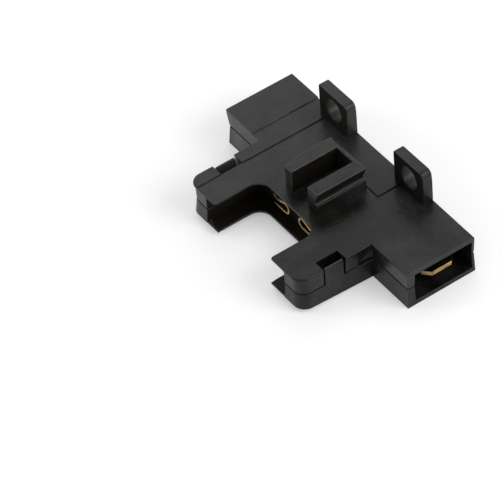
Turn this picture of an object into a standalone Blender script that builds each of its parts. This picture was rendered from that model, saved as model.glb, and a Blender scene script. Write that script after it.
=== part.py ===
"""Stackable holder for one regular blade fuse: two snapped shells and two stamped brass contacts.

The fuse slides in from the front, -Y. A tab for a push-on connector faces each end, -X and +X.
The back carries two screw ears, the top a dovetail rail, and the underside the matching slot.
"""
import math

import bmesh
import bpy
from mathutils import Matrix, Vector

MM = 0.001

# The fuse that goes in
FUSE_HEAD_WIDTH = 19.1 * MM
FUSE_THICKNESS = 5.1 * MM
FUSE_SIDE_PLAY = 1.3 * MM
FUSE_FACE_PLAY = 0.1 * MM
BLADE_WIDTH = 5.2 * MM
BLADE_THICKNESS = 0.65 * MM
BLADE_FACE_PLAY = 0.065 * MM
BLADE_PITCH = 9.3 * MM

# Outside of the moulded body
BODY_LENGTH = 46.9 * MM
BLOCK_DEPTH = 12.93 * MM
ARM_LENGTH = 13.53 * MM
ARM_SPAN = 29.3 * MM
ARM_CORNER = 2.0 * MM
EDGE_ROUND = 0.35 * MM
LIP_HEIGHT = 0.55 * MM
LIP_OVERHANG = 0.2 * MM
LIP_UNDERSIDE = 0.1 * MM
WALL_DRAFT = 0.25 * MM
ARM_TOE_RISE = 0.85 * MM
PARTING_HEIGHT = 3.75 * MM
SHELL_GAP = 0.3 * MM

# Mouth, finger notch and walls
NOTCH_WIDTH = 14.65 * MM
NOTCH_DEPTH = 8.83 * MM
NOTCH_SHIFT = 0.27 * MM
NOTCH_ROUND = 2.3 * MM
NOTCH_LEDGE = 0.35 * MM
UPPER_TIP_ROUND = 0.55 * MM
LOWER_TIP_ROUND = 0.2 * MM
MOUTH_SKIN = 0.4 * MM
MOUTH_RISE = 0.94 * MM
MOUTH_RIB = 0.8 * MM
MOUTH_DEPTH = 10.6 * MM
LEAD_IN = 0.12 * MM
LEAD_IN_DEPTH = 1.2 * MM
SOCKET_SIDE_WALL = 1.57 * MM
SOCKET_BACK_WALL = 0.5 * MM
SOCKET_FLOOR = 0.76 * MM
SOCKET_ROOF = 0.81 * MM
SOCKET_END_WALL = 2.1 * MM

# Levels and lands of the top
PANEL_DROP = 0.22 * MM
PANEL_WIDTH = 24.56 * MM
LAND_WIDTH = 14.16 * MM
LAND_DEPTH = 5.99 * MM
PAD_LENGTH = 7.07 * MM
PAD_HEIGHT = 0.2 * MM

# Screw ears
EAR_PITCH = 19.26 * MM
EAR_LEFT_REACH = 3.8 * MM
EAR_RIGHT_REACH = 3.55 * MM
EAR_THICKNESS = 1.85 * MM
EAR_HEIGHT = 6.36 * MM
EAR_LEFT_ROUND = 0.5 * MM
EAR_RIGHT_ROUND = 1.0 * MM
EAR_HOLE = 4.0 * MM
EAR_HOLE_RISE = 3.3 * MM

# Dovetail rail and the slot under the body
RAIL_WIDTH = 9.06 * MM
RAIL_LENGTH = 9.35 * MM
RAIL_HEIGHT = 4.15 * MM
RAIL_SETBACK = 6.16 * MM
RAIL_CHANNEL = 4.06 * MM
RAIL_BAR = 0.7 * MM
DOVETAIL_HEIGHT = 2.3 * MM
DOVETAIL_UNDERCUT = 0.8 * MM
DOVETAIL_CREST = 0.35 * MM
DOVETAIL_FLOOR_SLOPE = 0.15 * MM
RAIL_NOSE_RADIUS = 14.0 * MM
RAIL_NOSE_LENGTH = 4.4 * MM
SLOT_CLEARANCE = 0.3 * MM
SLOT_DEPTH = 2.4 * MM

# Snap hooks on the outer side of each arm
HOOK_WINDOW = 4.1 * MM
HOOK_SETBACK = 4.63 * MM
HOOK_THICKNESS = 0.65 * MM
HOOK_TOP_DROP = 0.2 * MM
HOOK_CHAMFER = 0.25 * MM
HOOK_CHAMFER_FALL = 0.4 * MM
HOOK_NOSE = 0.75 * MM
HOOK_NOSE_HEIGHT = 1.1 * MM
KEEPER_HEIGHT = 0.7 * MM
CORNER_RELIEF_LENGTH = 2.4 * MM
CORNER_RELIEF_DEPTH = 0.5 * MM
CORNER_RELIEF_SKIN = 0.45 * MM

# Stamped contacts
STRIP_THICKNESS = 0.4 * MM
SEAT_CLEARANCE = 0.3 * MM
TAB_WIDTH = 6.3 * MM
TAB_CHAMFER = 1.3 * MM
TAB_SETBACK = 0.8 * MM
TAB_OFFSET = 0.2 * MM
TAB_HOLE = 1.8 * MM
TAB_HOLE_FROM_TIP = 4.1 * MM
FOLD_START = 1.25 * MM
RECEPTACLE_LENGTH = 7.6 * MM
RECEPTACLE_FRONT = 1.15 * MM
BEND_RADIUS = 0.95 * MM
BLADE_SIDE_PLAY = 0.05 * MM
JAW_REACH = 3.0 * MM
JAW_LIP = 0.95 * MM
JAW_LIP_RISE = 0.45 * MM
PEG_DIAMETER = 1.6 * MM
PEG_REACH = 2.8 * MM
CHAMBER_CEILING = 0.45 * MM
CHAMBER_SIDE_PLAY = 0.3 * MM

ARC_STEPS = 8
OVERSHOOT = 1.0 * MM
TIP_ROUND_LEAD = 0.03 * MM

# Places worked out from the sizes
BAY_FLOOR = MOUTH_RISE + MOUTH_SKIN
BAY_TOP = BAY_FLOOR + FUSE_THICKNESS + FUSE_FACE_PLAY
PANEL_Z = BAY_TOP + MOUTH_SKIN
BODY_HEIGHT = PANEL_Z + PANEL_DROP
END_X = BODY_LENGTH / 2
BACK_Y = (BLOCK_DEPTH + ARM_LENGTH) / 2
SHOULDER_Y = BACK_Y - BLOCK_DEPTH
MOUTH_Y = -BACK_Y
ARM_X = ARM_SPAN / 2
LOWER_TOP = PARTING_HEIGHT - SHELL_GAP / 2
UPPER_BOTTOM = PARTING_HEIGHT + SHELL_GAP / 2
BAY_X = (FUSE_HEAD_WIDTH + FUSE_SIDE_PLAY) / 2
BAY_BACK_Y = MOUTH_Y + MOUTH_DEPTH
SOCKET_FRONT_Y = SHOULDER_Y + SOCKET_SIDE_WALL
SOCKET_BACK_Y = BACK_Y - SOCKET_BACK_WALL
SOCKET_ROOT_X = BAY_X + SOCKET_END_WALL
EAR_FRONT_Y = BACK_Y - EAR_THICKNESS
RAIL_BACK_Y = BACK_Y - RAIL_SETBACK
RAIL_FRONT_Y = RAIL_BACK_Y - RAIL_LENGTH
RAIL_TOP = BODY_HEIGHT + RAIL_HEIGHT
HOOK_FRONT_Y = MOUTH_Y + HOOK_SETBACK
HOOK_BACK_Y = HOOK_FRONT_Y + HOOK_WINDOW
TAB_Y = (SOCKET_FRONT_Y + SOCKET_BACK_Y) / 2 + TAB_OFFSET
TAB_TIP_X = END_X - TAB_SETBACK
FOLD_X = SOCKET_ROOT_X + FOLD_START
BLADE_X = BLADE_PITCH / 2
BLADE_UNDERSIDE = (BAY_FLOOR + BAY_TOP - BLADE_THICKNESS) / 2
STRIP_HEIGHT = BLADE_UNDERSIDE - BLADE_FACE_PLAY - STRIP_THICKNESS
STRIP_FLOOR = STRIP_HEIGHT - SEAT_CLEARANCE
BLADE_INNER_X = BLADE_X - BLADE_WIDTH / 2
BLADE_OUTER_X = BLADE_X + BLADE_WIDTH / 2
BEND_INSIDE = BEND_RADIUS - STRIP_THICKNESS / 2
BEND_AT_BLADE = math.sqrt(BEND_INSIDE ** 2 - (BEND_INSIDE - BLADE_FACE_PLAY) ** 2)
BEND_X = BLADE_INNER_X - BLADE_SIDE_PLAY + BEND_AT_BLADE
JAW_END_X = BEND_X + JAW_REACH
RECEPTACLE_FRONT_Y = BAY_BACK_Y - RECEPTACLE_FRONT
RECEPTACLE_TOP = STRIP_HEIGHT + STRIP_THICKNESS + 2 * BEND_RADIUS
CHAMBER_INNER_X = BEND_X - BEND_RADIUS - STRIP_THICKNESS / 2 - CHAMBER_SIDE_PLAY
CHAMBER_OUTER_X = BLADE_OUTER_X + CHAMBER_SIDE_PLAY
WEB_BACK_Y = TAB_Y + TAB_WIDTH / 2
WEB_FRONT_Y = TAB_Y - TAB_WIDTH / 2
PEG_X = CHAMBER_OUTER_X + PEG_REACH


def make_collection(name):
    """Make a collection in the scene."""
    collection = bpy.data.collections.new(name)
    bpy.context.scene.collection.children.link(collection)
    return collection


def make_material(name, colour, roughness, metallic):
    """Make a plain Principled material."""
    material = bpy.data.materials.new(name)
    material.use_nodes = True
    shader = material.node_tree.nodes["Principled BSDF"]
    shader.inputs["Base Color"].default_value = (*colour, 1.0)
    shader.inputs["Roughness"].default_value = roughness
    shader.inputs["Metallic"].default_value = metallic
    return material


def add_object(bm, name, collection, material=None):
    """Write a bmesh into a new object of the collection."""
    bmesh.ops.recalc_face_normals(bm, faces=bm.faces[:])
    mesh = bpy.data.meshes.new(name)
    bm.to_mesh(mesh)
    bm.free()
    if material:
        mesh.materials.append(material)
    item = bpy.data.objects.new(name, mesh)
    collection.objects.link(item)
    return item


def add_tool(bm, name, collection):
    """Write a bmesh into an object that only joins or cuts others."""
    tool = add_object(bm, name, collection)
    tool.hide_render = True
    tool.display_type = "WIRE"
    return tool


def combine(target, tool, operation):
    """Join the tool to the target, or cut it away."""
    modifier = target.modifiers.new(tool.name, "BOOLEAN")
    modifier.operation = operation
    modifier.object = tool
    modifier.solver = "EXACT"


def box(low, high):
    """Make a box between two corners."""
    bm = bmesh.new()
    centre = (Vector(low) + Vector(high)) / 2
    size = Vector(high) - Vector(low)
    matrix = Matrix.Translation(centre) @ Matrix.Diagonal((*size, 1.0))
    bmesh.ops.create_cube(bm, size=1.0, matrix=matrix)
    return bm


def rounded_outline(corners):
    """Turn (x, y, radius) corners into an outline with an arc at each corner that has a radius."""
    outline = []
    count = len(corners)
    for index, (x, y, radius) in enumerate(corners):
        here = Vector((x, y))
        if radius == 0.0:
            outline.append(here)
            continue
        before = Vector(corners[index - 1][:2]) - here
        after = Vector(corners[(index + 1) % count][:2]) - here
        half_angle = before.angle(after) / 2
        middle = (before.normalized() + after.normalized()).normalized()
        centre = here + middle * (radius / math.sin(half_angle))
        start = here + before.normalized() * (radius / math.tan(half_angle)) - centre
        end = here + after.normalized() * (radius / math.tan(half_angle)) - centre
        turn = start.angle_signed(end)
        for step in range(ARC_STEPS + 1):
            outline.append(centre + Matrix.Rotation(-turn * step / ARC_STEPS, 2) @ start)
    return outline


def prism(outline, low, high):
    """Raise a flat outline from one height to another."""
    bm = bmesh.new()
    face = bm.faces.new([bm.verts.new((x, y, low)) for x, y in outline])
    raised = bmesh.ops.extrude_face_region(bm, geom=[face])
    top = [item for item in raised["geom"] if isinstance(item, bmesh.types.BMVert)]
    bmesh.ops.translate(bm, verts=top, vec=(0.0, 0.0, high - low))
    return bm


def profile_along_y(profile, front, back):
    """Draw an (x, z) profile out along Y."""
    bm = prism(profile, -back, -front)
    bmesh.ops.rotate(bm, verts=bm.verts[:], matrix=Matrix.Rotation(math.pi / 2, 3, "X"))
    return bm


def draft_walls(bm, heights, anchor, reach):
    """Slice the walls at the given (height, inset) levels and draw each one in towards the anchor."""
    for height, _inset in heights:
        bmesh.ops.bisect_plane(
            bm, geom=bm.verts[:] + bm.edges[:] + bm.faces[:], dist=0.01 * MM,
            plane_co=(0.0, 0.0, height), plane_no=(0.0, 0.0, 1.0))
    for vert in bm.verts:
        for height, inset in heights:
            if abs(vert.co.z - height) < 0.01 * MM:
                vert.co.x = anchor[0] + (vert.co.x - anchor[0]) * (1.0 - inset / reach[0])
                vert.co.y = anchor[1] + (vert.co.y - anchor[1]) * (1.0 - inset / reach[1])


def round_top_edges(bm, height, back, radius):
    """Round the edges round a top face, apart from the one along the back."""
    rim = []
    for edge in bm.edges:
        level = all(abs(vert.co.z - height) < 0.01 * MM for vert in edge.verts)
        at_back = all(abs(vert.co.y - back) < 0.01 * MM for vert in edge.verts)
        if level and not at_back:
            rim.append(edge)
    bmesh.ops.bevel(bm, geom=rim, offset=radius, segments=3, profile=0.5, affect="EDGES", clamp_overlap=True)


def arm_outline():
    """The two arms in plan, from the mouth to inside the body."""
    inside_y = SHOULDER_Y + ARM_CORNER
    return rounded_outline([
        (-ARM_X, inside_y, 0.0),
        (-ARM_X, MOUTH_Y, ARM_CORNER),
        (ARM_X, MOUTH_Y, ARM_CORNER),
        (ARM_X, inside_y, 0.0),
    ])


def bar_outline():
    """The body with its two end blocks in plan."""
    return [(-END_X, BACK_Y), (-END_X, SHOULDER_Y), (END_X, SHOULDER_Y), (END_X, BACK_Y)]


def under_mouth_tool(tools):
    """The shallow pocket under the bay, which leaves its floor as thin as its roof."""
    low = (-BAY_X, MOUTH_Y - OVERSHOOT, -OVERSHOOT)
    high = (BAY_X, BAY_BACK_Y - MOUTH_RIB, MOUTH_RISE)
    return add_tool(box(low, high), "under_mouth", tools)


def notch_tool(name, ledge, corner, tools):
    """The finger notch in one shell, smaller all round by the ledge. The corner rounds the plate's tips."""
    left = -NOTCH_WIDTH / 2 - NOTCH_SHIFT + ledge
    right = NOTCH_WIDTH / 2 - NOTCH_SHIFT - ledge
    inner = MOUTH_Y + NOTCH_DEPTH - ledge
    mouth = MOUTH_Y - TIP_ROUND_LEAD
    outline = rounded_outline([
        (left - 2 * corner, MOUTH_Y - OVERSHOOT, 0.0),
        (right + 2 * corner, MOUTH_Y - OVERSHOOT, 0.0),
        (right + 2 * corner, mouth, 0.0),
        (right, mouth, corner),
        (right, inner, NOTCH_ROUND),
        (left, inner, NOTCH_ROUND),
        (left, mouth, corner),
        (left - 2 * corner, mouth, 0.0),
    ])
    return add_tool(prism(outline, -OVERSHOOT, BODY_HEIGHT + OVERSHOOT), name, tools)


def bay_tool(tools):
    """The bay that the head of the fuse slides into, opened slightly at its mouth."""
    bm = box((-BAY_X, MOUTH_Y - OVERSHOOT, BAY_FLOOR), (BAY_X, BAY_BACK_Y, BAY_TOP))
    lead_y = MOUTH_Y + LEAD_IN_DEPTH
    bmesh.ops.bisect_plane(
        bm, geom=bm.verts[:] + bm.edges[:] + bm.faces[:], dist=0.01 * MM,
        plane_co=(0.0, lead_y, 0.0), plane_no=(0.0, 1.0, 0.0))
    flare = LEAD_IN * (LEAD_IN_DEPTH + OVERSHOOT) / LEAD_IN_DEPTH
    middle = (BAY_TOP + BAY_FLOOR) / 2
    for vert in bm.verts:
        if vert.co.y < lead_y - 0.01 * MM:
            vert.co.z += math.copysign(flare, vert.co.z - middle)
    return add_tool(bm, "fuse_bay", tools)


def socket_tool(side, tools):
    """The open box round a tab, for a push-on connector. Side is -1 or 1."""
    near = side * SOCKET_ROOT_X
    far = side * (END_X + OVERSHOOT)
    low = (min(near, far), SOCKET_FRONT_Y, SOCKET_FLOOR)
    high = (max(near, far), SOCKET_BACK_Y, BODY_HEIGHT - SOCKET_ROOF)
    return add_tool(box(low, high), f"socket_{side_name(side)}", tools)


def side_name(side):
    """Word for a side: -1 is left and 1 is right."""
    return "left" if side < 0 else "right"


def side_box(side, near, far, front, back, low, high):
    """Make a box on one side, between two distances from the middle plane."""
    ends = (side * near, side * far)
    return box((min(ends), front, low), (max(ends), back, high))


def hook_window_tool(side, tools):
    """The window in the upper shell that a snap hook of the lower shell stands in."""
    outline = [
        (PANEL_WIDTH / 2, BODY_HEIGHT + OVERSHOOT),
        (PANEL_WIDTH / 2, UPPER_BOTTOM + KEEPER_HEIGHT),
        (ARM_X - HOOK_THICKNESS - SHELL_GAP, UPPER_BOTTOM + KEEPER_HEIGHT),
        (ARM_X - HOOK_THICKNESS - SHELL_GAP, UPPER_BOTTOM - OVERSHOOT),
        (ARM_X + OVERSHOOT, UPPER_BOTTOM - OVERSHOOT),
        (ARM_X + OVERSHOOT, BODY_HEIGHT + OVERSHOOT),
    ]
    bm = profile_along_y([(side * x, z) for x, z in outline], HOOK_FRONT_Y, HOOK_BACK_Y)
    return add_tool(bm, f"hook_window_{side_name(side)}", tools)


def hook_tool(side, tools):
    """A snap hook: a tongue on the lower shell whose nose catches over the keeper."""
    nose_low = UPPER_BOTTOM + KEEPER_HEIGHT + SHELL_GAP
    inner = ARM_X - HOOK_THICKNESS
    top = BODY_HEIGHT - HOOK_TOP_DROP
    outline = [
        (inner, LOWER_TOP - OVERSHOOT),
        (ARM_X - WALL_DRAFT, LOWER_TOP - OVERSHOOT),
        (ARM_X - WALL_DRAFT, top - HOOK_CHAMFER_FALL),
        (ARM_X - WALL_DRAFT - HOOK_CHAMFER, top),
        (inner, top),
        (inner - HOOK_NOSE, nose_low + HOOK_NOSE_HEIGHT / 2),
        (inner - HOOK_NOSE, nose_low),
        (inner, nose_low),
    ]
    front = HOOK_FRONT_Y + SHELL_GAP
    back = HOOK_BACK_Y - SHELL_GAP
    bm = profile_along_y([(side * x, z) for x, z in outline], front, back)
    return add_tool(bm, f"snap_hook_{side_name(side)}", tools)


def corner_relief_tool(side, tools):
    """The relief in the upper shell's wall at the corner between an arm and an end block."""
    inner = ARM_X - CORNER_RELIEF_DEPTH
    back = SHOULDER_Y
    front = SHOULDER_Y - CORNER_RELIEF_LENGTH
    low = UPPER_BOTTOM - OVERSHOOT
    high = BODY_HEIGHT - CORNER_RELIEF_SKIN
    bm = side_box(side, inner, ARM_X + OVERSHOOT, front, back, low, high)
    return add_tool(bm, f"corner_relief_{side_name(side)}", tools)


def chamber_tools(side, tools):
    """The chamber round a receptacle and the channel under its web, in one shell or in both."""
    receptacle = side_box(
        side, CHAMBER_INNER_X, CHAMBER_OUTER_X, BAY_BACK_Y - OVERSHOOT, WEB_BACK_Y + SEAT_CLEARANCE,
        STRIP_FLOOR, RECEPTACLE_TOP + CHAMBER_CEILING)
    channel = side_box(
        side, CHAMBER_OUTER_X - OVERSHOOT, SOCKET_ROOT_X + OVERSHOOT, WEB_FRONT_Y - SEAT_CLEARANCE,
        WEB_BACK_Y + SEAT_CLEARANCE, STRIP_FLOOR, UPPER_BOTTOM)
    name = side_name(side)
    return add_tool(receptacle, f"chamber_{name}", tools), add_tool(channel, f"web_channel_{name}", tools)


def top_panel_tool(tools):
    """The lowered panel of the top: it leaves the outer bands and the land between the ears."""
    outline = [
        (-PANEL_WIDTH / 2, MOUTH_Y - OVERSHOOT),
        (PANEL_WIDTH / 2, MOUTH_Y - OVERSHOOT),
        (PANEL_WIDTH / 2, EAR_FRONT_Y),
        (LAND_WIDTH / 2, EAR_FRONT_Y),
        (LAND_WIDTH / 2, BACK_Y - LAND_DEPTH),
        (-LAND_WIDTH / 2, BACK_Y - LAND_DEPTH),
        (-LAND_WIDTH / 2, EAR_FRONT_Y),
        (-PANEL_WIDTH / 2, EAR_FRONT_Y),
    ]
    return add_tool(prism(outline, PANEL_Z, BODY_HEIGHT + OVERSHOOT), "top_panel", tools)


def ear_tool(side, tools):
    """One screw ear, a plate across the back edge. Its left top corner is rounded less."""
    left = side * EAR_PITCH / 2 - EAR_LEFT_REACH
    right = side * EAR_PITCH / 2 + EAR_RIGHT_REACH
    top = BODY_HEIGHT + EAR_HEIGHT
    outline = rounded_outline([
        (left, BODY_HEIGHT - SOCKET_ROOF / 2, 0.0),
        (right, BODY_HEIGHT - SOCKET_ROOF / 2, 0.0),
        (right, top, EAR_RIGHT_ROUND),
        (left, top, EAR_LEFT_ROUND),
    ])
    return add_tool(profile_along_y(outline, EAR_FRONT_Y, BACK_Y), f"ear_{side_name(side)}", tools)


def ear_hole_tool(side, tools):
    """The screw hole through an ear."""
    bm = bmesh.new()
    place = Matrix.Translation((side * EAR_PITCH / 2, EAR_FRONT_Y, BODY_HEIGHT + EAR_HOLE_RISE))
    bmesh.ops.create_cone(
        bm, cap_ends=True, segments=32, radius1=EAR_HOLE / 2, radius2=EAR_HOLE / 2,
        depth=4 * EAR_THICKNESS, matrix=place @ Matrix.Rotation(math.pi / 2, 4, "X"))
    return add_tool(bm, f"ear_hole_{side_name(side)}", tools)


def rail_tool(tools):
    """The dovetail rail as one block, before its channel is cut."""
    half = RAIL_WIDTH / 2
    ledge = RAIL_TOP - DOVETAIL_HEIGHT
    right = [
        (half, PANEL_Z - MOUTH_SKIN / 2),
        (half, ledge - DOVETAIL_FLOOR_SLOPE),
        (half - DOVETAIL_UNDERCUT, ledge),
        (half, RAIL_TOP - DOVETAIL_CREST),
        (half, RAIL_TOP),
    ]
    left = [(-x, z) for x, z in reversed(right)]
    return add_tool(profile_along_y(right + left, RAIL_FRONT_Y, RAIL_BACK_Y), "dovetail_rail", tools)


def rail_channel_tool(tools):
    """The channel between the rail's two legs."""
    bm = box(
        (-RAIL_CHANNEL / 2, RAIL_FRONT_Y - OVERSHOOT, PANEL_Z),
        (RAIL_CHANNEL / 2, RAIL_BACK_Y - RAIL_BAR, RAIL_TOP + OVERSHOOT))
    return add_tool(bm, "rail_channel", tools)


def rail_nose_tool(tools):
    """What curves the outer side of the left leg in towards its front end."""
    half = RAIL_WIDTH / 2
    start = RAIL_FRONT_Y + RAIL_NOSE_LENGTH
    sweep = math.asin((RAIL_NOSE_LENGTH + OVERSHOOT) / RAIL_NOSE_RADIUS)
    outline = [Vector((-half - OVERSHOOT, start))]
    for step in range(ARC_STEPS + 1):
        angle = sweep * step / ARC_STEPS
        x = -half + RAIL_NOSE_RADIUS * (1.0 - math.cos(angle))
        outline.append(Vector((x, start - RAIL_NOSE_RADIUS * math.sin(angle))))
    outline.append(Vector((-half - OVERSHOOT, outline[-1].y)))
    return add_tool(prism(outline, PANEL_Z, RAIL_TOP + OVERSHOOT), "rail_nose", tools)


def stacking_slot_tool(tools):
    """The dovetail slot under the body, open at the back, for the rail of the holder below."""
    neck = RAIL_WIDTH / 2 - DOVETAIL_UNDERCUT + SLOT_CLEARANCE
    wide = RAIL_WIDTH / 2 + SLOT_CLEARANCE
    shoulder = SLOT_DEPTH - DOVETAIL_CREST
    outline = [(-neck, -OVERSHOOT), (neck, -OVERSHOOT), (neck, 0.0), (wide, shoulder), (wide, SLOT_DEPTH)]
    outline += [(-x, z) for x, z in reversed(outline[2:])]
    front = RAIL_FRONT_Y - SLOT_CLEARANCE
    return add_tool(profile_along_y(outline, front, BACK_Y + OVERSHOOT), "stacking_slot", tools)


def peg_tool(side, tools):
    """A peg on the floor of the web channel that holds the contact in place."""
    bm = bmesh.new()
    low = STRIP_FLOOR - SEAT_CLEARANCE
    bmesh.ops.create_cone(
        bm, cap_ends=True, segments=20, radius1=PEG_DIAMETER / 2, radius2=PEG_DIAMETER / 2,
        depth=LOWER_TOP - low, matrix=Matrix.Translation((side * PEG_X, TAB_Y, (LOWER_TOP + low) / 2)))
    return add_tool(bm, f"peg_{side_name(side)}", tools)


def build_upper_shell(parts, tools, shared, material):
    """The upper shell: top plates, upper walls, pad, rail and ears, in one moulding."""
    lip = BODY_HEIGHT - LIP_HEIGHT
    inside_y = SHOULDER_Y + ARM_CORNER

    arms = prism(arm_outline(), UPPER_BOTTOM, BODY_HEIGHT)
    levels = [(lip, 0.0), (lip - LIP_UNDERSIDE, LIP_OVERHANG), (UPPER_BOTTOM, WALL_DRAFT)]
    draft_walls(arms, levels, (0.0, inside_y), (ARM_X, inside_y - MOUTH_Y))
    round_top_edges(arms, BODY_HEIGHT, inside_y, EDGE_ROUND)
    shell = add_object(arms, "upper_shell", parts, material)

    bar = prism(bar_outline(), UPPER_BOTTOM, BODY_HEIGHT)
    draft_walls(bar, [(lip, 0.0), (UPPER_BOTTOM, WALL_DRAFT)], (0.0, BACK_Y), (END_X, BLOCK_DEPTH))
    combine(shell, add_tool(bar, "upper_bar", tools), "UNION")

    pad = box((-END_X, SHOULDER_Y, lip), (-END_X + PAD_LENGTH, BACK_Y, BODY_HEIGHT + PAD_HEIGHT))
    combine(shell, add_tool(pad, "end_pad", tools), "UNION")

    combine(shell, top_panel_tool(tools), "DIFFERENCE")
    for side in (-1, 1):
        combine(shell, ear_tool(side, tools), "UNION")
    combine(shell, rail_tool(tools), "UNION")
    combine(shell, rail_channel_tool(tools), "DIFFERENCE")
    combine(shell, rail_nose_tool(tools), "DIFFERENCE")
    for side in (-1, 1):
        combine(shell, ear_hole_tool(side, tools), "DIFFERENCE")
        combine(shell, hook_window_tool(side, tools), "DIFFERENCE")
        combine(shell, corner_relief_tool(side, tools), "DIFFERENCE")
    for tool in shared:
        combine(shell, tool, "DIFFERENCE")
    return shell


def build_lower_shell(parts, tools, shared, channels, material):
    """The lower shell: bottom plates, lower walls, snap hooks, pegs and the stacking slot."""
    levels = [(0.0, 0.0), (LOWER_TOP, WALL_DRAFT)]
    inside_y = SHOULDER_Y + ARM_CORNER

    arms = prism(arm_outline(), 0.0, LOWER_TOP)
    draft_walls(arms, levels, (0.0, inside_y), (ARM_X, inside_y - MOUTH_Y))
    for vert in arms.verts:
        if vert.co.z < LOWER_TOP / 2 and vert.co.y < SHOULDER_Y:
            vert.co.z += ARM_TOE_RISE * (SHOULDER_Y - vert.co.y) / ARM_LENGTH
    shell = add_object(arms, "lower_shell", parts, material)

    bar = prism(bar_outline(), 0.0, LOWER_TOP)
    draft_walls(bar, levels, (0.0, BACK_Y), (END_X, BLOCK_DEPTH))
    combine(shell, add_tool(bar, "lower_bar", tools), "UNION")

    for tool in shared + channels:
        combine(shell, tool, "DIFFERENCE")
    combine(shell, under_mouth_tool(tools), "DIFFERENCE")
    combine(shell, stacking_slot_tool(tools), "DIFFERENCE")
    for side in (-1, 1):
        combine(shell, hook_tool(side, tools), "UNION")
        combine(shell, peg_tool(side, tools), "UNION")
    return shell


def strip_outline(path, thickness):
    """Turn the middle line of a bent strip into its closed outline, with mitred corners."""
    sides = ([], [])
    for index, point in enumerate(path):
        before = point - path[max(index - 1, 0)]
        after = path[min(index + 1, len(path) - 1)] - point
        before = before.normalized() if index else after.normalized()
        after = after.normalized() if index < len(path) - 1 else before
        along = (before + after).normalized()
        across = Vector((-along.y, along.x)) * (thickness / 2 / along.dot(before))
        sides[0].append(point + across)
        sides[1].append(point - across)
    return sides[0] + sides[1][::-1]


def receptacle_profile():
    """Cross-section of a right receptacle: a floor, a bend round the blade's edge and a sprung jaw."""
    floor = STRIP_HEIGHT + STRIP_THICKNESS / 2
    pinch = BLADE_UNDERSIDE + BLADE_THICKNESS + BLADE_FACE_PLAY + STRIP_THICKNESS / 2
    path = [Vector((JAW_END_X, floor))]
    for step in range(2 * ARC_STEPS + 1):
        angle = math.radians(-90.0 - 180.0 * step / (2 * ARC_STEPS))
        direction = Vector((math.cos(angle), math.sin(angle)))
        path.append(Vector((BEND_X, floor + BEND_RADIUS)) + direction * BEND_RADIUS)
    path.append(Vector((JAW_END_X - JAW_LIP, pinch)))
    path.append(Vector((JAW_END_X, pinch + JAW_LIP_RISE)))
    return strip_outline(path, STRIP_THICKNESS)


def build_contact(side, parts, tools, material):
    """One contact: a bent receptacle for the blade, a web across to the side, and a doubled tab."""
    low = STRIP_HEIGHT
    high = STRIP_HEIGHT + STRIP_THICKNESS
    name = side_name(side)

    profile = [(side * point.x, point.y) for point in receptacle_profile()]
    receptacle_back = RECEPTACLE_FRONT_Y + RECEPTACLE_LENGTH
    receptacle = profile_along_y(profile, RECEPTACLE_FRONT_Y, receptacle_back)
    contact = add_object(receptacle, f"{name}_contact", parts, material)

    web = [
        (BEND_X, receptacle_back - STRIP_THICKNESS),
        (JAW_END_X, receptacle_back - STRIP_THICKNESS),
        (JAW_END_X, WEB_FRONT_Y),
        (TAB_TIP_X - TAB_CHAMFER, WEB_FRONT_Y),
        (TAB_TIP_X, WEB_FRONT_Y + TAB_CHAMFER),
        (TAB_TIP_X, WEB_BACK_Y - TAB_CHAMFER),
        (TAB_TIP_X - TAB_CHAMFER, WEB_BACK_Y),
        (BEND_X, WEB_BACK_Y),
    ]
    strip = prism([(side * x, y) for x, y in web], low, high)
    combine(contact, add_tool(strip, f"{name}_web", tools), "UNION")

    fold = [
        (FOLD_X, WEB_FRONT_Y),
        (TAB_TIP_X - TAB_CHAMFER, WEB_FRONT_Y),
        (TAB_TIP_X, WEB_FRONT_Y + TAB_CHAMFER),
        (TAB_TIP_X, WEB_BACK_Y - TAB_CHAMFER),
        (TAB_TIP_X - TAB_CHAMFER, WEB_BACK_Y),
        (FOLD_X, WEB_BACK_Y),
    ]
    doubled = prism([(side * x, y) for x, y in fold], low + STRIP_THICKNESS / 2, high + STRIP_THICKNESS)
    combine(contact, add_tool(doubled, f"{name}_fold", tools), "UNION")

    holes = ((PEG_X, PEG_DIAMETER / 2 + SEAT_CLEARANCE), (TAB_TIP_X - TAB_HOLE_FROM_TIP, TAB_HOLE / 2))
    for index, (x, radius) in enumerate(holes):
        bm = bmesh.new()
        bmesh.ops.create_cone(
            bm, cap_ends=True, segments=20, radius1=radius, radius2=radius, depth=8 * STRIP_THICKNESS,
            matrix=Matrix.Translation((side * x, TAB_Y, high)))
        combine(contact, add_tool(bm, f"{name}_hole_{index}", tools), "DIFFERENCE")
    return contact


def shade(item):
    """Shade the curved faces smooth and keep the real edges sharp."""
    item.data.shade_smooth()
    item.data.set_sharp_from_angle(angle=math.radians(30.0))


def main():
    """Clear the scene and build the holder."""
    for item in list(bpy.data.objects):
        bpy.data.objects.remove(item)
    parts = make_collection("fuse_holder")
    tools = make_collection("cutters")
    black = make_material("black_moulded_nylon", (0.022, 0.022, 0.021), 0.42, 0.0)
    brass = make_material("stamped_brass", (0.60, 0.42, 0.18), 0.30, 1.0)

    upper_notch = notch_tool("upper_notch", 0.0, UPPER_TIP_ROUND, tools)
    lower_notch = notch_tool("lower_notch", NOTCH_LEDGE, LOWER_TIP_ROUND, tools)
    shared = [bay_tool(tools)]
    channels = []
    for side in (-1, 1):
        chamber, channel = chamber_tools(side, tools)
        shared += [socket_tool(side, tools), chamber]
        channels.append(channel)

    pieces = [
        build_upper_shell(parts, tools, [upper_notch] + shared, black),
        build_lower_shell(parts, tools, [lower_notch] + shared, channels, black),
        build_contact(-1, parts, tools, brass),
        build_contact(1, parts, tools, brass),
    ]
    for piece in pieces:
        shade(piece)


main()
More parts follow.
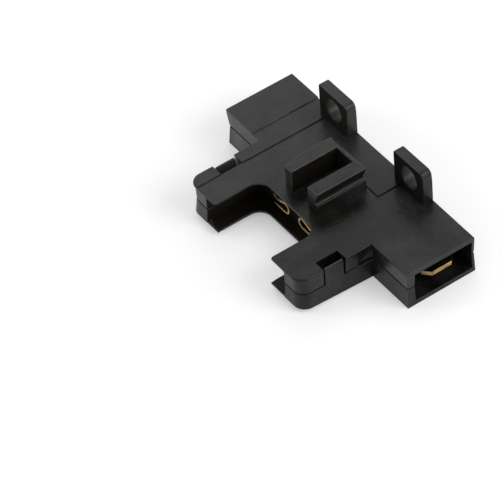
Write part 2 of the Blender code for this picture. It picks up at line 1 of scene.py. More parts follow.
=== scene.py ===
# %% [markdown]
# # A snap-together holder for one blade fuse
#
# The real thing is about 47 mm long. Two black nylon mouldings snap over two stamped brass
# contacts. The fuse slides in at the front, between two thin plates with a finger notch, and a
# push-on connector goes into the open box at each end. Ears at the back take screws, and a
# dovetail rail on top fits the slot under the next holder.
#
# The imported CAD model gives every size. Here its pieces get what a mould and a press leave on
# them: rounded edges, grain and rolling lines. Painted light and shade are added to the black as
# well. Lengths are in metres, so a millimetre has a name of its own.

# %% Load the frame
import math

import bmesh
import bpy
from mathutils import Matrix, Vector


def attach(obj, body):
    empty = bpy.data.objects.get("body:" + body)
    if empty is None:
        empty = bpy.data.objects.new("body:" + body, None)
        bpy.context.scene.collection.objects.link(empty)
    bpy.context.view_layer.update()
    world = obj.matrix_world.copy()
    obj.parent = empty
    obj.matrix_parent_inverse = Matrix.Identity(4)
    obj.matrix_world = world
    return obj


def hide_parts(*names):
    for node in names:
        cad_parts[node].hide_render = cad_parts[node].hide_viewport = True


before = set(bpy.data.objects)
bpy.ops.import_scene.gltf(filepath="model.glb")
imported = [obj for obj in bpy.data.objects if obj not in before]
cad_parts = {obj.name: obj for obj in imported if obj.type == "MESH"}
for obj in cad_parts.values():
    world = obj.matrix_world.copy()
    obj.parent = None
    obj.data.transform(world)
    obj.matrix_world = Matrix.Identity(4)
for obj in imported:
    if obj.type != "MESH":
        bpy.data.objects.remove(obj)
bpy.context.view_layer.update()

MM = 0.001

# %% [markdown]
# ## Colour and shader helpers
#
# Colours are written as the sRGB hex values that a picture editor shows, and Blender works in
# linear light, so one function turns the first into the second. Another adds a shader node with
# its settings and its links in one call, which keeps each material short enough to read. A
# node's inputs can be named, or numbered where several share one name.


# %% Colours and nodes
def linear(code):
    """Turn a hex colour such as "#3a3a38" into linear red, green, blue and alpha."""
    values = [int(code[place:place + 2], 16) / 255 for place in (1, 3, 5)]
    return [v / 12.92 if v <= 0.04045 else ((v + 0.055) / 1.055) ** 2.4 for v in values] + [1.0]


def add_node(tree, kind, settings=None, links=None):
    """Add a shader node. Settings name its properties or inputs; links feed its inputs."""
    node = tree.nodes.new(kind)
    for name, value in (settings or {}).items():
        if isinstance(name, str) and hasattr(node, name):
            setattr(node, name, value)
        else:
            node.inputs[name].default_value = value
    for name, source in (links or {}).items():
        tree.links.new(source, node.inputs[name])
    return node


def new_material(name):
    """Make an empty node material and return it with its tree and its output."""
    material = bpy.data.materials.new(name)
    material.use_nodes = True
    material.node_tree.nodes.clear()
    return material, material.node_tree, add_node(material.node_tree, "ShaderNodeOutputMaterial")


print("#808080 in linear light:", round(linear("#808080")[0], 3))

# %% [markdown]
# ## Finish: black PA66, moulded
#
# The shells are polyamide 66 coloured with carbon black, from a spark-eroded mould. Its surface
# is a fine even grain about 0.05 mm across, which blurs reflections to a satin grey: what the
# eye takes for the colour on the top is mostly the pale room in that sheen. In the recesses,
# where no room shows, the plastic is a warm near-black. An image texture could give that, but
# noise on Object coordinates works at any distance and needs no unwrapping.
#
# The grain is drawn 0.16 mm wide, because at its true width it would be finer than a pixel.
# Waves 0.8 mm wide and a few hundredths deep, which thin walls get as they shrink in the mould,
# keep the flat faces from looking like glass.

# %% Sizes of the moulded surface
GRAIN, GRAIN_DEPTH, GRAIN_STRENGTH = 0.16 * MM, 0.02 * MM, 0.5
WAVES, WAVE_DEPTH, WAVE_STRENGTH = 0.8 * MM, 0.06 * MM, 0.7
CLOUDS = 5.0 * MM
# Nearly all values of a noise texture lie between these two.
NOISE_LOW, NOISE_HIGH = 0.3, 0.7
print("grain", GRAIN / MM, "mm, waves", WAVES / MM, "mm, clouds", CLOUDS / MM, "mm")

# %% [markdown]
# ### Where the black is paler
#
# The black isn't one even tone. The plastic's flow leaves cloudy patches about 5 mm wide. Painted
# light makes the left end paler, and it fades towards the right one. Beside the rail the black is
# darkened by painted shade, wholly within 4 mm and less and less out to 13 mm. An image mask would
# put these in place one by one, but distances in Object coordinates do it without a picture, and
# both shells get them in the same place. Added up, they give the share of the paler tone that
# shows.

# %% Painted light and shade
# Places along X, and what the painted light adds to the share at each.
PAINTED_LIGHT_FADES_AT, PAINTED_LIGHT_FULL_AT = 12.0 * MM, -22.0 * MM
PAINTED_LIGHT_LEAST, PAINTED_LIGHT_MOST = -0.28, 0.05
# The middle of the painted shade beside the rail, its radii, and what it takes from the share.
RAIL_SHADE_PLACE = (8.0 * MM, -4.0 * MM, 7.0 * MM)
RAIL_SHADE_FULL_WITHIN, RAIL_SHADE_RIM = 4.0 * MM, 13.0 * MM
RAIL_SHADE_SHARE = -0.16
# How much of the grain's own pattern goes into the share.
GRAIN_SHARE = 0.9


def pale_share(tree, place, flow, grain):
    """Sum the clouds, the painted light along X, the painted shade beside the rail and the grain.
    """
    across = add_node(tree, "ShaderNodeSeparateXYZ", links={0: place}).outputs["X"]
    # Painted light: the left end is made paler, fading towards the right.
    left_painted_light = add_node(tree, "ShaderNodeMapRange",
                    {"From Min": PAINTED_LIGHT_FADES_AT, "From Max": PAINTED_LIGHT_FULL_AT,
                     "To Min": PAINTED_LIGHT_LEAST, "To Max": PAINTED_LIGHT_MOST}, {"Value": across})
    # Painted shade beside the rail, where the rail hides the room from the top's sheen.
    away = add_node(tree, "ShaderNodeVectorMath", {"operation": "DISTANCE", 1: RAIL_SHADE_PLACE},
                    {0: place})
    rail_painted_shade = add_node(tree, "ShaderNodeMapRange",
                     {"From Min": RAIL_SHADE_FULL_WITHIN, "From Max": RAIL_SHADE_RIM,
                      "To Min": RAIL_SHADE_SHARE, "To Max": 0.0}, {"Value": away.outputs["Value"]})
    painted_light_and_shade = add_node(tree, "ShaderNodeMath", {"operation": "ADD"},
                     {0: left_painted_light.outputs[0], 1: rail_painted_shade.outputs[0]})
    clouds_and_painted_light = add_node(tree, "ShaderNodeMath", {"operation": "ADD"}, {0: flow, 1: painted_light_and_shade.outputs[0]})
    grain_clouds_and_painted_light = add_node(tree, "ShaderNodeMath", {"operation": "MULTIPLY_ADD", 1: GRAIN_SHARE},
                        {0: grain, 2: clouds_and_painted_light.outputs[0]})
    return grain_clouds_and_painted_light.outputs[0]


print("haze from X", PAINTED_LIGHT_FADES_AT / MM, "to", PAINTED_LIGHT_FULL_AT / MM, "mm")

# %% [markdown]
# ### The nylon itself
#
# PA66 has an IOR of about 1.53, and a moulded face a roughness of 0.25 to 0.5. At the full
# specular level of 0.5 a white room lifts the black to a mid grey, so the level comes down until
# the top has the real one's tone. The waves and the grain are bumps: they are far too fine for
# the mesh, and they only have to disturb the light.


# %% Black nylon
NYLON_IOR = 1.53
# The share of the paler tone counts from the first of these and is full at the second.
PALE_FROM, PALE_FULL = 0.5, 1.0
# Clouds are this much glossier or duller than the finish as a whole.
GLOSSIER, DULLER = 0.05, 0.06


def moulded_nylon(name, deep, pale, roughness, specular):
    """PA66 from an eroded mould: a satin black with grain, clouds and shallow waves, and painted
    light and shade.
    """
    material, tree, output = new_material(name)
    place = add_node(tree, "ShaderNodeTexCoord").outputs["Object"]
    flow = add_node(tree, "ShaderNodeTexNoise",
                    {"Scale": 1 / CLOUDS, "Detail": 3.0, "Roughness": 0.55}, {"Vector": place})
    grain = add_node(tree, "ShaderNodeTexNoise",
                     {"Scale": 1 / GRAIN, "Detail": 2.0, "Roughness": 0.6}, {"Vector": place})
    peel = add_node(tree, "ShaderNodeTexNoise",
                    {"Scale": 1 / WAVES, "Detail": 2.0, "Roughness": 0.6}, {"Vector": place})
    share = pale_share(tree, place, flow.outputs["Fac"], grain.outputs["Fac"])
    tint = add_node(tree, "ShaderNodeValToRGB", links={"Fac": share})
    deep_stop, pale_stop = tint.color_ramp.elements
    deep_stop.position, deep_stop.color = PALE_FROM, linear(deep)
    pale_stop.position, pale_stop.color = PALE_FULL, linear(pale)
    gloss = add_node(tree, "ShaderNodeMapRange",
                     {"From Min": NOISE_LOW, "From Max": NOISE_HIGH,
                      "To Min": roughness - GLOSSIER, "To Max": roughness + DULLER},
                     {"Value": flow.outputs["Fac"]})
    waves = add_node(tree, "ShaderNodeBump", {"Strength": WAVE_STRENGTH, "Distance": WAVE_DEPTH},
                     {"Height": peel.outputs["Fac"]})
    bump = add_node(tree, "ShaderNodeBump", {"Strength": GRAIN_STRENGTH, "Distance": GRAIN_DEPTH},
                    {"Height": grain.outputs["Fac"], "Normal": waves.outputs["Normal"]})
    shader = add_node(tree, "ShaderNodeBsdfPrincipled",
                      {"IOR": NYLON_IOR, "Metallic": 0.0, "Specular IOR Level": specular},
                      {"Base Color": tint.outputs["Color"], "Roughness": gloss.outputs[0],
                       "Normal": bump.outputs["Normal"]})
    tree.links.new(shader.outputs["BSDF"], output.inputs["Surface"])
    return material


# %% [markdown]
# ### Three finishes from one nylon
#
# The outer walls are the plain satin black. The edges are smoother, and a paler colour is painted
# on them as a highlight, on top of the thin line of light they catch. The bay, the boxes and the
# channels are shaped by cores and left rough, and they and the other places in shade are painted a
# brownish near-black as shade, so they stay matt and darkest. One function makes all three, so
# that they clearly belong to one plastic.

# %% The three finishes
# Fine moulded grain: a satin grey sheen over a warm black.
black_nylon = moulded_nylon("PA66 black, moulded", deep="#0e0e0b", pale="#323433",
                            roughness=0.32, specular=0.20)
# Smoother, with a paler colour painted on each edge as a highlight: a sharper line of light.
edge_highlight_nylon = moulded_nylon("PA66 black, painted edge highlight", deep="#1b1a17", pale="#393b39",
                             roughness=0.25, specular=0.23)
# Rough, with little sheen, and a brownish near-black painted as shade in the recesses.
shade_painted_nylon = moulded_nylon("PA66 black, painted shade", deep="#120f0a", pale="#1b1710",
                            roughness=0.5, specular=0.13)
print("finishes:", black_nylon.name, "|", edge_highlight_nylon.name, "|", shade_painted_nylon.name)

# %% [markdown]
# ## Finish: brass, rolled and stamped
#
# The contacts are punched from cartridge brass strip 0.4 mm thick. Rolling leaves fine lines
# along the strip, about 0.05 mm apart, and handling dulls the yellow to brown in patches. A
# metal's colour is in its reflection, so the base colour is the brass itself, Metallic is 1 and
# the IOR stays as it is. Noise stretched along X draws the lines 0.12 mm apart, wide enough to
# show, and a slow noise mixes in the tarnish. The punch leaves a rough, duller cut edge, which
# is the same brass a little darker.

# %% Brass
ROLLING, ROLLING_DEPTH, ROLLING_STRENGTH = 0.12 * MM, 0.008 * MM, 0.3
# Squeezing the pattern to a twentieth along X draws it out twenty times as long.
ALONG_STRIP = (0.05, 1.0, 1.0)
TARNISH = 2.5 * MM
TARNISH_DULL, TARNISH_BRIGHT = 0.38, 0.62
SMOOTHEST, ROUGHEST = 0.2, 0.34


def stamped_brass(name, bright, dull):
    """Rolled brass strip with fine lines along it and a patchy, thin tarnish."""
    material, tree, output = new_material(name)
    place = add_node(tree, "ShaderNodeTexCoord").outputs["Object"]
    stretched = add_node(tree, "ShaderNodeMapping", {"Scale": ALONG_STRIP}, {"Vector": place})
    lines = add_node(tree, "ShaderNodeTexNoise", {"Scale": 1 / ROLLING, "Detail": 2.0},
                     {"Vector": stretched.outputs["Vector"]})
    patches = add_node(tree, "ShaderNodeTexNoise", {"Scale": 1 / TARNISH, "Detail": 4.0},
                       {"Vector": place})
    tint = add_node(tree, "ShaderNodeValToRGB", links={"Fac": patches.outputs["Fac"]})
    dull_stop, bright_stop = tint.color_ramp.elements
    dull_stop.position, dull_stop.color = TARNISH_DULL, linear(dull)
    bright_stop.position, bright_stop.color = TARNISH_BRIGHT, linear(bright)
    gloss = add_node(tree, "ShaderNodeMapRange",
                     {"From Min": NOISE_LOW, "From Max": NOISE_HIGH,
                      "To Min": SMOOTHEST, "To Max": ROUGHEST}, {"Value": lines.outputs["Fac"]})
    bump = add_node(tree, "ShaderNodeBump",
                    {"Strength": ROLLING_STRENGTH, "Distance": ROLLING_DEPTH},
                    {"Height": lines.outputs["Fac"]})
    shader = add_node(tree, "ShaderNodeBsdfPrincipled", {"Metallic": 1.0},
                      {"Base Color": tint.outputs["Color"], "Roughness": gloss.outputs[0],
                       "Normal": bump.outputs["Normal"]})
    tree.links.new(shader.outputs["BSDF"], output.inputs["Surface"])
    return material


# Rolled face: a warm yellow that mirrors the room, with brown patches.
brass = stamped_brass("brass strip, stamped", bright="#c0a26a", dull="#86724c")
# Punched edge: the same yellow, browner and darker.
cut_brass = stamped_brass("brass strip, cut edge", bright="#a28552", dull="#6e5a36")
print("finishes:", brass.name, "|", cut_brass.name, "- rolling lines", ROLLING / MM, "mm")

# %% [markdown]
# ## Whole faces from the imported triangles
#
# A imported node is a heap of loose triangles, and a bevel needs whole faces that share their
# edges. So a copy is merged, and its flat triangles are dissolved back into the faces that the
# mould had. The CAD node itself is left alone: the copy stands for it.
#
# A Blender face can't have a hole in it. Left alone, dissolving keeps some slanting edge from
# the hole to the rim, and a bevel runs astray along it. So the copy is first sliced by planes
# through the middle of each hole, and the slices are marked as seams, which stay.

# %% Copy a node as whole faces
SAME_POINT = 0.004 * MM
SAME_PLANE = math.radians(0.8)


def join_flat_faces(bm, borders):
    """Dissolve the edges between faces that lie in one plane, up to the borders named."""
    bmesh.ops.dissolve_limit(bm, angle_limit=SAME_PLANE, use_dissolve_boundaries=False,
                             verts=bm.verts[:], edges=bm.edges[:], delimit=borders)


def whole_faces(node, slices):
    """Copy a CAD node into a bmesh with whole flat faces, sliced at the (axis, mm) places given."""
    bm = bmesh.new()
    bm.from_mesh(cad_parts[node].data)
    bmesh.ops.remove_doubles(bm, verts=bm.verts[:], dist=SAME_POINT)
    join_flat_faces(bm, {"NORMAL"})
    bmesh.ops.triangulate(bm, faces=bm.faces[:], ngon_method="EAR_CLIP")
    for axis, place in slices:
        normal = Vector((0.0, 0.0, 0.0))
        normal[axis] = 1.0
        cut = bmesh.ops.bisect_plane(
            bm, geom=bm.verts[:] + bm.edges[:] + bm.faces[:], dist=SAME_POINT,
            plane_co=normal * place * MM, plane_no=normal)
        for item in cut["geom_cut"]:
            if isinstance(item, bmesh.types.BMEdge):
                item.seam = True
    join_flat_faces(bm, {"NORMAL", "SEAM"})
    open_edges = [edge for edge in bm.edges if len(edge.link_faces) != 2]
    print(f"{node}: {len(bm.faces)} whole faces, {len(open_edges)} open edges")
    return bm


# %% [markdown]
# ## From a bmesh to a piece of the scene
#
# A bmesh is only a workbench. This step writes it into an object at the origin with its materials,
# hangs it on the body it rides on, prints which CAD node it stands for and hides that node.


# %% Put a piece in the scene
def put_in_scene(bm, name, materials, node):
    """Write a bmesh into an object that rides on the body and stands for a CAD node."""
    print(name, "stands for", node)
    mesh = bpy.data.meshes.new(name)
    bm.to_mesh(mesh)
    bm.free()
    for material in materials:
        mesh.materials.append(material)
    piece = bpy.data.objects.new(name, mesh)
    bpy.context.scene.collection.objects.link(piece)
    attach(piece, "root")
    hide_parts(node)
    return piece


# %% [markdown]
# ## Rounded edges, one size for each place
#
# No moulded edge is sharp, and the thin bright lines on the real shells are light caught on
# their edges. One bevel for everything would be quick, but the mould's edges differ: about
# 0.1 mm on most, 0.05 mm on the shallow steps and 0.22 mm along the crest of the rail. Each edge
# carries a weight, and a Bevel modifier multiplies its width by that weight. The weights come
# from rules: a word, a radius in mm, and a test of the edge's lower and higher end.

# %% Weigh the edges
FULL_WEIGHT = 0.4 * MM
SHARP_FROM = math.radians(32.0)
# In mm: how far from its level an end may lie, and how far past a size a rule still reaches.
SLACK, MARGIN = 0.06, 0.1


def near(value, target, slack=SLACK):
    """True where a coordinate in mm is within the slack of a level."""
    return abs(value - target) < slack


def flat_at(level):
    """A test for edges that lie at one height."""
    return lambda low, high: near(low.z, level) and near(high.z, level)


def weigh_edges(bm, plain, rules):
    """Weigh the sharp edges for rounding. Outer edges take the first rule that fits, or the plain
    radius, and inner corners stay sharp."""
    weights = bm.edges.layers.float.new("bevel_weight_edge")
    counts = {}
    for edge in bm.edges:
        if len(edge.link_faces) != 2 or edge.calc_face_angle() < SHARP_FROM:
            continue
        low, high = sorted((vert.co / MM for vert in edge.verts), key=lambda co: co.z)
        chosen = ("plain", plain) if edge.is_convex else ("inner", 0.0)
        for word, radius, fits in rules:
            if edge.is_convex and fits(low, high):
                chosen = (word, radius)
                break
        edge[weights] = chosen[1] * MM / FULL_WEIGHT
        edge.smooth = chosen[1] > 0.0
        counts[chosen[0]] = counts.get(chosen[0], 0) + 1
    print("edges:", counts)


# %% [markdown]
# ### The rounding itself
#
# The Bevel modifier makes the rounds and gives them a finish of their own: on the shells, a paler
# colour painted on as a highlight. Shading is smooth throughout, and the second modifier leans each
# normal to the larger face beside it, so that the flat faces still look flat and only the rounds
# turn the light.


# %% Round the edges
def round_edges(piece, edge_finish, segments=3):
    """Round a piece with a Bevel modifier that follows the edge weights, in a finish of its own."""
    # The rounds get this finish; on the shells its paler colour is a painted highlight.
    piece.data.materials.append(edge_finish)
    bevel = piece.modifiers.new("rounded edges", "BEVEL")
    bevel.material = len(piece.data.materials) - 1
    bevel.limit_method = "WEIGHT"
    bevel.offset_type = "OFFSET"
    bevel.width = FULL_WEIGHT
    bevel.segments = segments
    bevel.profile = 0.5
    bevel.use_clamp_overlap = False
    for face in piece.data.polygons:
        face.use_smooth = True
    flat = piece.modifiers.new("flat faces stay flat", "WEIGHTED_NORMAL")
    flat.mode = "FACE_AREA"
    flat.keep_sharp = True
    print(piece.name, "rounded in", segments, "steps")


# %% [markdown]
# ## The places with painted shade
#
# The matt finish, with its brownish near-black painted as shade, belongs to whole faces deep in
# the mouldings, and to the ears' fronts and the faces that meet at the parting line, which lie in
# shade too. They could be picked by hand in the editor, but the pick would be lost when the CAD
# model changes. Here a pocket is a box, and each face whose middle lies in it gets the finish.
# Places are in mm, as spans along X, Y and Z. The mouldings' own levels come first, because
# pockets and edge rules both use them.

# %% Levels of the mouldings
# Heights: the faces at the parting line, the top, the pad, the rail's crest, the ears' start.
LOWER_TOP, UPPER_BOTTOM = 3.6, 3.9
TOP, PAD_TOP, RAIL_CREST, EARS_ABOVE = 7.16, 7.36, 11.31, 8.0
# Along Y: the front of the blocks, a line in front of the ears, and the back.
SHOULDER, EARS_BEHIND, BACK = 0.3, 11.0, 13.23
# Along X, to both sides: the slot, the land between the ears, the pegs, the long steps of the
# top, and a line inside the hooks.
SLOT_SIDE, LAND_SIDE, PEG_SIDE, STEP_SIDE, HOOKS_BEYOND = 4.05, 7.08, 10.35, 12.28, 13.0
EAR_HOLE_SIDE, EAR_HOLE_HEIGHT, EAR_HOLE_RADIUS = 9.63, 10.46, 2.0
WHOLE_LENGTH, WHOLE_DEPTH = (-24.0, 24.0), (-14.0, 14.0)
print("parting line between", LOWER_TOP, "and", UPPER_BOTTOM, "mm, top at", TOP, "mm")

# %% Pockets
# Faces in these boxes get the brownish near-black that is painted as shade.
POCKETS = {
    "fuse bay": ((-10.3, 10.3), (-13.3, 6.5), (1.2, 6.7)),
    "left box": ((-23.0, -7.0), (2.1, 12.5), (0.9, 6.2)),
    "right box": ((7.0, 23.0), (2.1, 12.5), (0.9, 6.2)),
    "rail channel": ((-2.1, 2.1), (-2.2, 6.5), (7.0, 11.2)),
    "rail undercut": ((3.6, 4.6), (-2.2, 7.0), (9.1, 10.97)),
    "ear fronts": ((-14.0, 14.0), (11.3, 11.45), (8.0, 13.4)),
}
# The faces at the parting line get that painted shade too.
UPPER_PARTING = (WHOLE_LENGTH, WHOLE_DEPTH, (UPPER_BOTTOM - SLACK, UPPER_BOTTOM + SLACK))
LOWER_PARTING = (WHOLE_LENGTH, WHOLE_DEPTH, (LOWER_TOP - SLACK, UPPER_BOTTOM + SLACK))


def paint_shade_in_pockets(bm, pockets):
    """Give the second material, with its painted shade, to the faces whose middle lies in a pocket.
    """
    count = 0
    for face in bm.faces:
        middle = face.calc_center_median() / MM
        for spans in pockets:
            if all(low < middle[axis] < high for axis, (low, high) in enumerate(spans)):
                face.material_index = 1
                count += 1
                break
    print("faces with painted shade:", count)


print("pockets:", ", ".join(POCKETS))

# %% [markdown]
# ## Upper shell
#
# The upper moulding has the plate over the fuse, the upper half of both boxes, the pad on the
# left block, the ears and the rail. It could be modelled anew, but the CAD faces are the shape
# already, so only their edges change. Each rule names the edges of one place. The upright back
# edges of the ears stay sharp, because ears and back wall share one flat face there, and a round
# would run astray where the edge meets it.

# %% Edge rules of the upper shell
PLAIN_ROUND = 0.08

upper_rules = [
    ("pad", 0.1, flat_at(PAD_TOP)),
    ("ear bores", 0.06, lambda low, high: low.y > EARS_BEHIND
        and near(abs(low.x), EAR_HOLE_SIDE, EAR_HOLE_RADIUS + MARGIN)
        and near(low.z, EAR_HOLE_HEIGHT, EAR_HOLE_RADIUS + MARGIN)
        and near(high.z, EAR_HOLE_HEIGHT, EAR_HOLE_RADIUS + MARGIN)),
    ("ear backs", 0.0, lambda low, high: near(low.y, BACK) and near(high.y, BACK)
        and low.z < TOP + MARGIN and high.z > EARS_ABOVE),
    ("ears", 0.16, lambda low, high: low.y > EARS_BEHIND and high.y > EARS_BEHIND
        and high.z > EARS_ABOVE),
    ("rail crest", 0.22, flat_at(RAIL_CREST)),
    ("rail", 0.1, lambda low, high: high.z > PAD_TOP + MARGIN),
    ("steps of the top", 0.05, lambda low, high: near(low.z, TOP)
        and (near(abs(low.x), STEP_SIDE) and near(abs(high.x), STEP_SIDE)
             or max(abs(low.x), abs(high.x)) < LAND_SIDE + MARGIN)),
    ("rim", 0.16, flat_at(TOP)),
    ("parting", 0.06, lambda low, high: high.z < UPPER_BOTTOM + MARGIN),
]
print("upper rules:", ", ".join(rule[0] for rule in upper_rules))

# %% Upper shell
upper_faces = whole_faces("upper_shell", [(0, 0.0), (0, EAR_HOLE_SIDE), (0, -EAR_HOLE_SIDE)])
paint_shade_in_pockets(upper_faces, [*POCKETS.values(), UPPER_PARTING])
weigh_edges(upper_faces, PLAIN_ROUND, upper_rules)
upper_shell = put_in_scene(upper_faces, "upper_moulding", [black_nylon, shade_painted_nylon],
                           "upper_shell")
round_edges(upper_shell, edge_highlight_nylon)

# %% [markdown]
# ## A lip in the parting line
#
# Real shells touch along their parting line, and the CAD shells keep 0.3 mm between them, so
# that they count as two pieces. Light would shine through that gap. A strip of its own could
# close it, but no such piece exists, so the lower shell's flat top is inset a little and raised
# until it nearly meets the upper shell. Set back from the walls, it leaves the thin dark line
# that a real seam shows. The second inset is only 0.01 mm wide: it makes the lip's walls.

# %% Raise the lip
LIP_SETBACK, LIP_RISE, LIP_LEAN = 0.13, 0.27, 0.01
# A face looks up where its normal's Z is nearly 1.
FACES_UP = 0.99


def raise_lip(bm, level):
    """Raise a lip on the flat faces at one level, set back from their rims."""
    flat = [face for face in bm.faces if face.normal.z > FACES_UP
            and near(face.calc_center_median().z / MM, level)]
    bmesh.ops.inset_region(bm, faces=flat, thickness=LIP_SETBACK * MM, depth=0.0,
                           use_even_offset=True)
    bmesh.ops.inset_region(bm, faces=flat, thickness=LIP_LEAN * MM, depth=LIP_RISE * MM,
                           use_even_offset=True)
    print("lip on", len(flat), "faces,", LIP_RISE, "mm high")


# %% [markdown]
# ## Lower shell
#
# The lower moulding has the bottom plate, the lower half of both boxes, the two hooks that snap
# into the windows above, and the slot for the next holder's rail. It is made as the upper one
# is. The slot's lower edges and the front edge beside its mouth stay sharp, because rounds that
# meet in the corners of the mouth would run astray. The lip stays sharp too: it hardly shows.

# %% Edge rules of the lower shell
lower_rules = [
    ("slot", 0.0, lambda low, high: high.z < 2 * MARGIN
        and (near(abs(low.x), SLOT_SIDE) and near(abs(high.x), SLOT_SIDE)
             or near(low.y, SHOULDER) and near(high.y, SHOULDER)
             and max(abs(low.x), abs(high.x)) < PEG_SIDE + MARGIN)),
    ("lip", 0.0, lambda low, high: low.z > LOWER_TOP - SLACK
        and near(high.z, LOWER_TOP + LIP_RISE)),
    ("parting", 0.07, flat_at(LOWER_TOP)),
    ("hooks", 0.12, lambda low, high: low.z > LOWER_TOP + MARGIN and abs(low.x) > HOOKS_BEYOND),
]
print("lower rules:", ", ".join(rule[0] for rule in lower_rules))

# %% Lower shell
lower_faces = whole_faces("lower_shell", [(0, 0.0), (0, PEG_SIDE), (0, -PEG_SIDE)])
raise_lip(lower_faces, LOWER_TOP)
paint_shade_in_pockets(lower_faces, [*POCKETS.values(), LOWER_PARTING])
weigh_edges(lower_faces, PLAIN_ROUND, lower_rules)
lower_shell = put_in_scene(lower_faces, "lower_moulding", [black_nylon, shade_painted_nylon],
                           "lower_shell")
round_edges(lower_shell, edge_highlight_nylon)

# %% [markdown]
# ## Contacts
#
# Each contact is one brass strip: a receptacle with a sprung jaw for the fuse's blade, a web,
# and a tab doubled over for the push-on connector. A curve with thickness could draw the bends,
# but the CAD strip has them already. A punched strip 0.4 mm thick has edges rounded by about
# 0.05 mm, in two steps, because three would not show. One slice along the strip goes through
# the middle of both its holes, the one round the shell's peg and the one in the tab.

# %% Contacts
STRIP_HOLES_Y, STRIP_ROUND = 7.5, 0.05

for side in ("left", "right"):
    strip_faces = whole_faces(f"{side}_contact", [(1, STRIP_HOLES_Y)])
    weigh_edges(strip_faces, STRIP_ROUND, [])
    contact = put_in_scene(strip_faces, f"{side}_brass_strip", [brass],
                           f"{side}_contact")
    round_edges(contact, cut_brass, segments=2)

# %% [markdown]
# ## Floor and surroundings
#
# The holder lies on matt white paper. A brighter lamp could burn the paper to white, but it
# would bleach the holder too. So the paper adds a glow of its own where the camera sees it,
# straight, in a mirror or through glass. It adds none to the light that falls on the holder, and
# the holder's soft shadow stays. The lamps stand close, so the glow grows from 25 to 75 mm away,
# where their light thins out. The floor lies a hair under the holder, because two faces in one
# plane flicker.


# %% Rays that see the background
def seen_directly(tree):
    """1 for a ray from the camera, a mirrored ray or a ray through glass, and 0 for any other."""
    paths = add_node(tree, "ShaderNodeLightPath")
    mirrored = add_node(tree, "ShaderNodeMath", {"operation": "MAXIMUM"},
                        {0: paths.outputs["Is Glossy Ray"],
                         1: paths.outputs["Is Transmission Ray"]})
    return add_node(tree, "ShaderNodeMath", {"operation": "MAXIMUM"},
                    {0: paths.outputs["Is Camera Ray"], 1: mirrored.outputs[0]}).outputs[0]


# %% Paper
GLOW_NEAR, GLOW_FAR = 0.36, 0.54
GLOW_FROM, GLOW_TO = 25.0 * MM, 75.0 * MM


def white_paper(name):
    """Matt white paper that adds a glow of its own for the camera and for reflections."""
    material, tree, output = new_material(name)
    place = add_node(tree, "ShaderNodeTexCoord").outputs["Object"]
    away = add_node(tree, "ShaderNodeVectorMath", {"operation": "LENGTH"}, {0: place})
    amount = add_node(tree, "ShaderNodeMapRange",
                      {"From Min": GLOW_FROM, "From Max": GLOW_TO,
                       "To Min": GLOW_NEAR, "To Max": GLOW_FAR}, {"Value": away.outputs["Value"]})
    seen = add_node(tree, "ShaderNodeMath", {"operation": "MULTIPLY"},
                    {0: seen_directly(tree), 1: amount.outputs[0]})
    matt = add_node(tree, "ShaderNodeBsdfDiffuse", {"Color": linear("#ececec")})
    glow = add_node(tree, "ShaderNodeEmission", {"Color": linear("#ffffff")},
                    {"Strength": seen.outputs[0]})
    both = add_node(tree, "ShaderNodeAddShader", links={0: matt.outputs[0], 1: glow.outputs[0]})
    tree.links.new(both.outputs[0], output.inputs["Surface"])
    return material


matt_paper = white_paper("paper, matt white")
print("floor finish:", matt_paper.name)

# %% Floor
FLOOR_REACH, FLOOR_DROP = 1.5, 0.02 * MM

floor_faces = bmesh.new()
bmesh.ops.create_grid(floor_faces, x_segments=1, y_segments=1, size=FLOOR_REACH)
bmesh.ops.translate(floor_faces, verts=floor_faces.verts[:], vec=(0.0, 0.0, -FLOOR_DROP))
floor_mesh = bpy.data.meshes.new("floor")
floor_faces.to_mesh(floor_mesh)
floor_faces.free()
floor_mesh.materials.append(matt_paper)
floor = bpy.data.objects.new("floor", floor_mesh)
bpy.context.scene.collection.objects.link(floor)
print("floor:", 2 * FLOOR_REACH, "m wide,", FLOOR_DROP / MM, "mm under the holder")

# %% [markdown]
# ## The room
#
# The world stands for a pale room, brightest overhead and dim near the floor, which is what
# shades the walls from top to bottom. An HDR picture could do that, but a ramp on the height of
# each direction is enough for soft, even light. Where the background itself is seen, straight,
# in a mirror or through glass, it is white.

# %% World
# Light at two heights of a direction's Z: just over the horizon, and straight up.
HORIZON, OVERHEAD = 0.05, 1.0
HORIZON_LIGHT, CEILING_LIGHT = 0.1, 0.66

scene = bpy.context.scene
# Standard shows tones as they are. The default transform would turn the white paper grey.
scene.view_settings.view_transform = "Standard"
world = bpy.data.worlds.new("studio")
scene.world = world
world.use_nodes = True
sky = world.node_tree
sky.nodes.clear()
toward = add_node(sky, "ShaderNodeTexCoord").outputs["Generated"]
height = add_node(sky, "ShaderNodeSeparateXYZ", links={0: toward}).outputs["Z"]
strength = add_node(sky, "ShaderNodeMapRange",
                    {"From Min": HORIZON, "From Max": OVERHEAD,
                     "To Min": HORIZON_LIGHT, "To Max": CEILING_LIGHT}, {"Value": height})
room = add_node(sky, "ShaderNodeBackground", {"Color": linear("#fdfeff")},
                {"Strength": strength.outputs[0]})
paper = add_node(sky, "ShaderNodeBackground", {"Color": linear("#ffffff"), "Strength": 1.0})
choose = add_node(sky, "ShaderNodeMixShader", links={0: seen_directly(sky),
                                                     1: room.outputs[0], 2: paper.outputs[0]})
add_node(sky, "ShaderNodeOutputWorld", links={"Surface": choose.outputs[0]})
print("room light from", HORIZON_LIGHT, "at the horizon to", CEILING_LIGHT, "overhead")

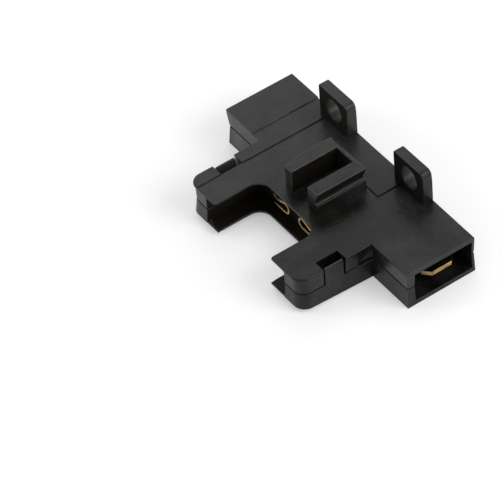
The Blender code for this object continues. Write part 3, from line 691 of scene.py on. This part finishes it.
# %% [markdown]
# ## Lamps
#
# Black plastic shows little but reflections, so each lamp is there for the edges that mirror it.
# The one at the right lights the rounds along +X and the holes in the ears, the one at the left
# those along -Y, and the one behind gives the tops a soft fall-off. Point lamps would leave hard
# spots, so all three are square softboxes. Each is given by its azimuth and elevation in degrees,
# its distance and size in metres and its power in watts.

# %% Softboxes
SOFTBOXES = {
    "softbox behind": {"azimuth": -127.0, "elevation": 45.0, "distance": 0.45, "size": 0.36,
                       "power": 0.2},
    "softbox at the right": {"azimuth": 117.0, "elevation": 38.0, "distance": 0.35, "size": 0.22,
                             "power": 0.5},
    "softbox at the left": {"azimuth": -40.0, "elevation": 22.0, "distance": 0.6, "size": 0.2,
                            "power": 0.6},
}


def hang_softbox(name, azimuth, elevation, distance, size, power):
    """Hang a square area lamp round the holder, facing its middle."""
    data = bpy.data.lights.new(name, "AREA")
    data.shape = "SQUARE"
    data.size = size
    data.energy = power
    lamp = bpy.data.objects.new(name, data)
    turn = math.radians(azimuth)
    rise = math.radians(elevation)
    towards = Vector((math.sin(turn) * math.cos(rise), -math.cos(turn) * math.cos(rise),
                      math.sin(rise)))
    lamp.location = towards * distance
    lamp.rotation_euler = towards.to_track_quat("Z", "Y").to_euler()
    scene.collection.objects.link(lamp)
    print(name, "at", [round(value, 2) for value in lamp.location], "m")


for name, values in SOFTBOXES.items():
    hang_softbox(name, **values)

# %% [markdown]
# ## Camera
#
# The camera stands where the photograph was taken from. Its place could be found by eye, but it
# was solved from corners of the holder instead: how far it is turned, how far it looks down, how
# far it leans, its distance, the point of the floor in the middle of the view, and the focal
# length in pixels of a picture 500 pixels wide. The long lens keeps parallel edges nearly
# parallel.

# %% Camera
YAW = math.radians(58.1254)
PITCH = math.radians(45.6135)
ROLL = math.radians(-5.3336)
DISTANCE = 569.1413 * MM
AIM = Vector((-1.9462, -11.0341, 0.0)) * MM
FOCAL_PIXELS, PICTURE_WIDTH = 3687.277, 500
SENSOR_WIDTH = 36.0

back = Vector((math.sin(YAW) * math.cos(PITCH), -math.cos(YAW) * math.cos(PITCH),
               math.sin(PITCH)))
level = Vector((math.cos(YAW), math.sin(YAW), 0.0))
over = back.cross(level)
right = math.cos(ROLL) * level + math.sin(ROLL) * over
up = -math.sin(ROLL) * level + math.cos(ROLL) * over
camera_data = bpy.data.cameras.new("camera")
camera_data.sensor_width = SENSOR_WIDTH
camera_data.lens = FOCAL_PIXELS / PICTURE_WIDTH * SENSOR_WIDTH
camera_data.clip_start = 0.05
camera_data.clip_end = 5.0
camera = bpy.data.objects.new("camera", camera_data)
turned = Matrix((right, up, back)).transposed().to_4x4()
camera.matrix_world = Matrix.Translation(AIM + back * DISTANCE) @ turned
scene.collection.objects.link(camera)
scene.camera = camera
print("lens", round(camera_data.lens, 2), "mm")

# %% [markdown]
# ## Sizes
#
# The dressed pieces have to fill the CAD model's box and stay inside it. Here the scene is only
# brought up to date.

# %% Bring the scene up to date
bpy.context.view_layer.update()
